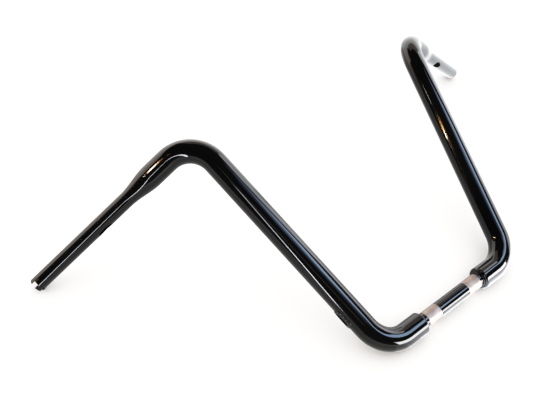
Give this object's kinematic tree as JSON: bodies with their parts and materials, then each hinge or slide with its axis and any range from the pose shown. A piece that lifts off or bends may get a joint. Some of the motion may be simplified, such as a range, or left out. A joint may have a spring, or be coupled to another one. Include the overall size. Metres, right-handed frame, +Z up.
{
  "type": "motorcycle handlebar",
  "caption": "High-rise fat-tube motorcycle handlebar with a necked clamp bar, swaged grips, wiring slots and a notched throttle end.",
  "frame": {"origin": "middle of the clamp bar, on its axis, with the bar lying as it comes to rest on a floor 19.05 mm below", "axes": "+X along the clamp bar to the rider's right, +Y forward, away from the rider, +Z up from the floor it lies on. Turned about +X by about -62 degrees the risers stand upright, as on a motorcycle with a steep front end"},
  "size_m": [1.039, 0.4542, 0.2197],
  "materials": {
    "gloss_black": "deep gloss black powder coat over steel tube",
    "knurled_steel": "bare knurled steel bands, gloss black paint between and beside them",
    "grommet_rubber": "black moulded rubber"
  },
  "bodies": {
    "root": {"right_tube": "gloss_black", "left_tube": "gloss_black", "clamp_bar": "knurled_steel", "right_collar": "gloss_black", "left_collar": "gloss_black", "wire_grommet": "grommet_rubber"}
  },
  "joints": []
}
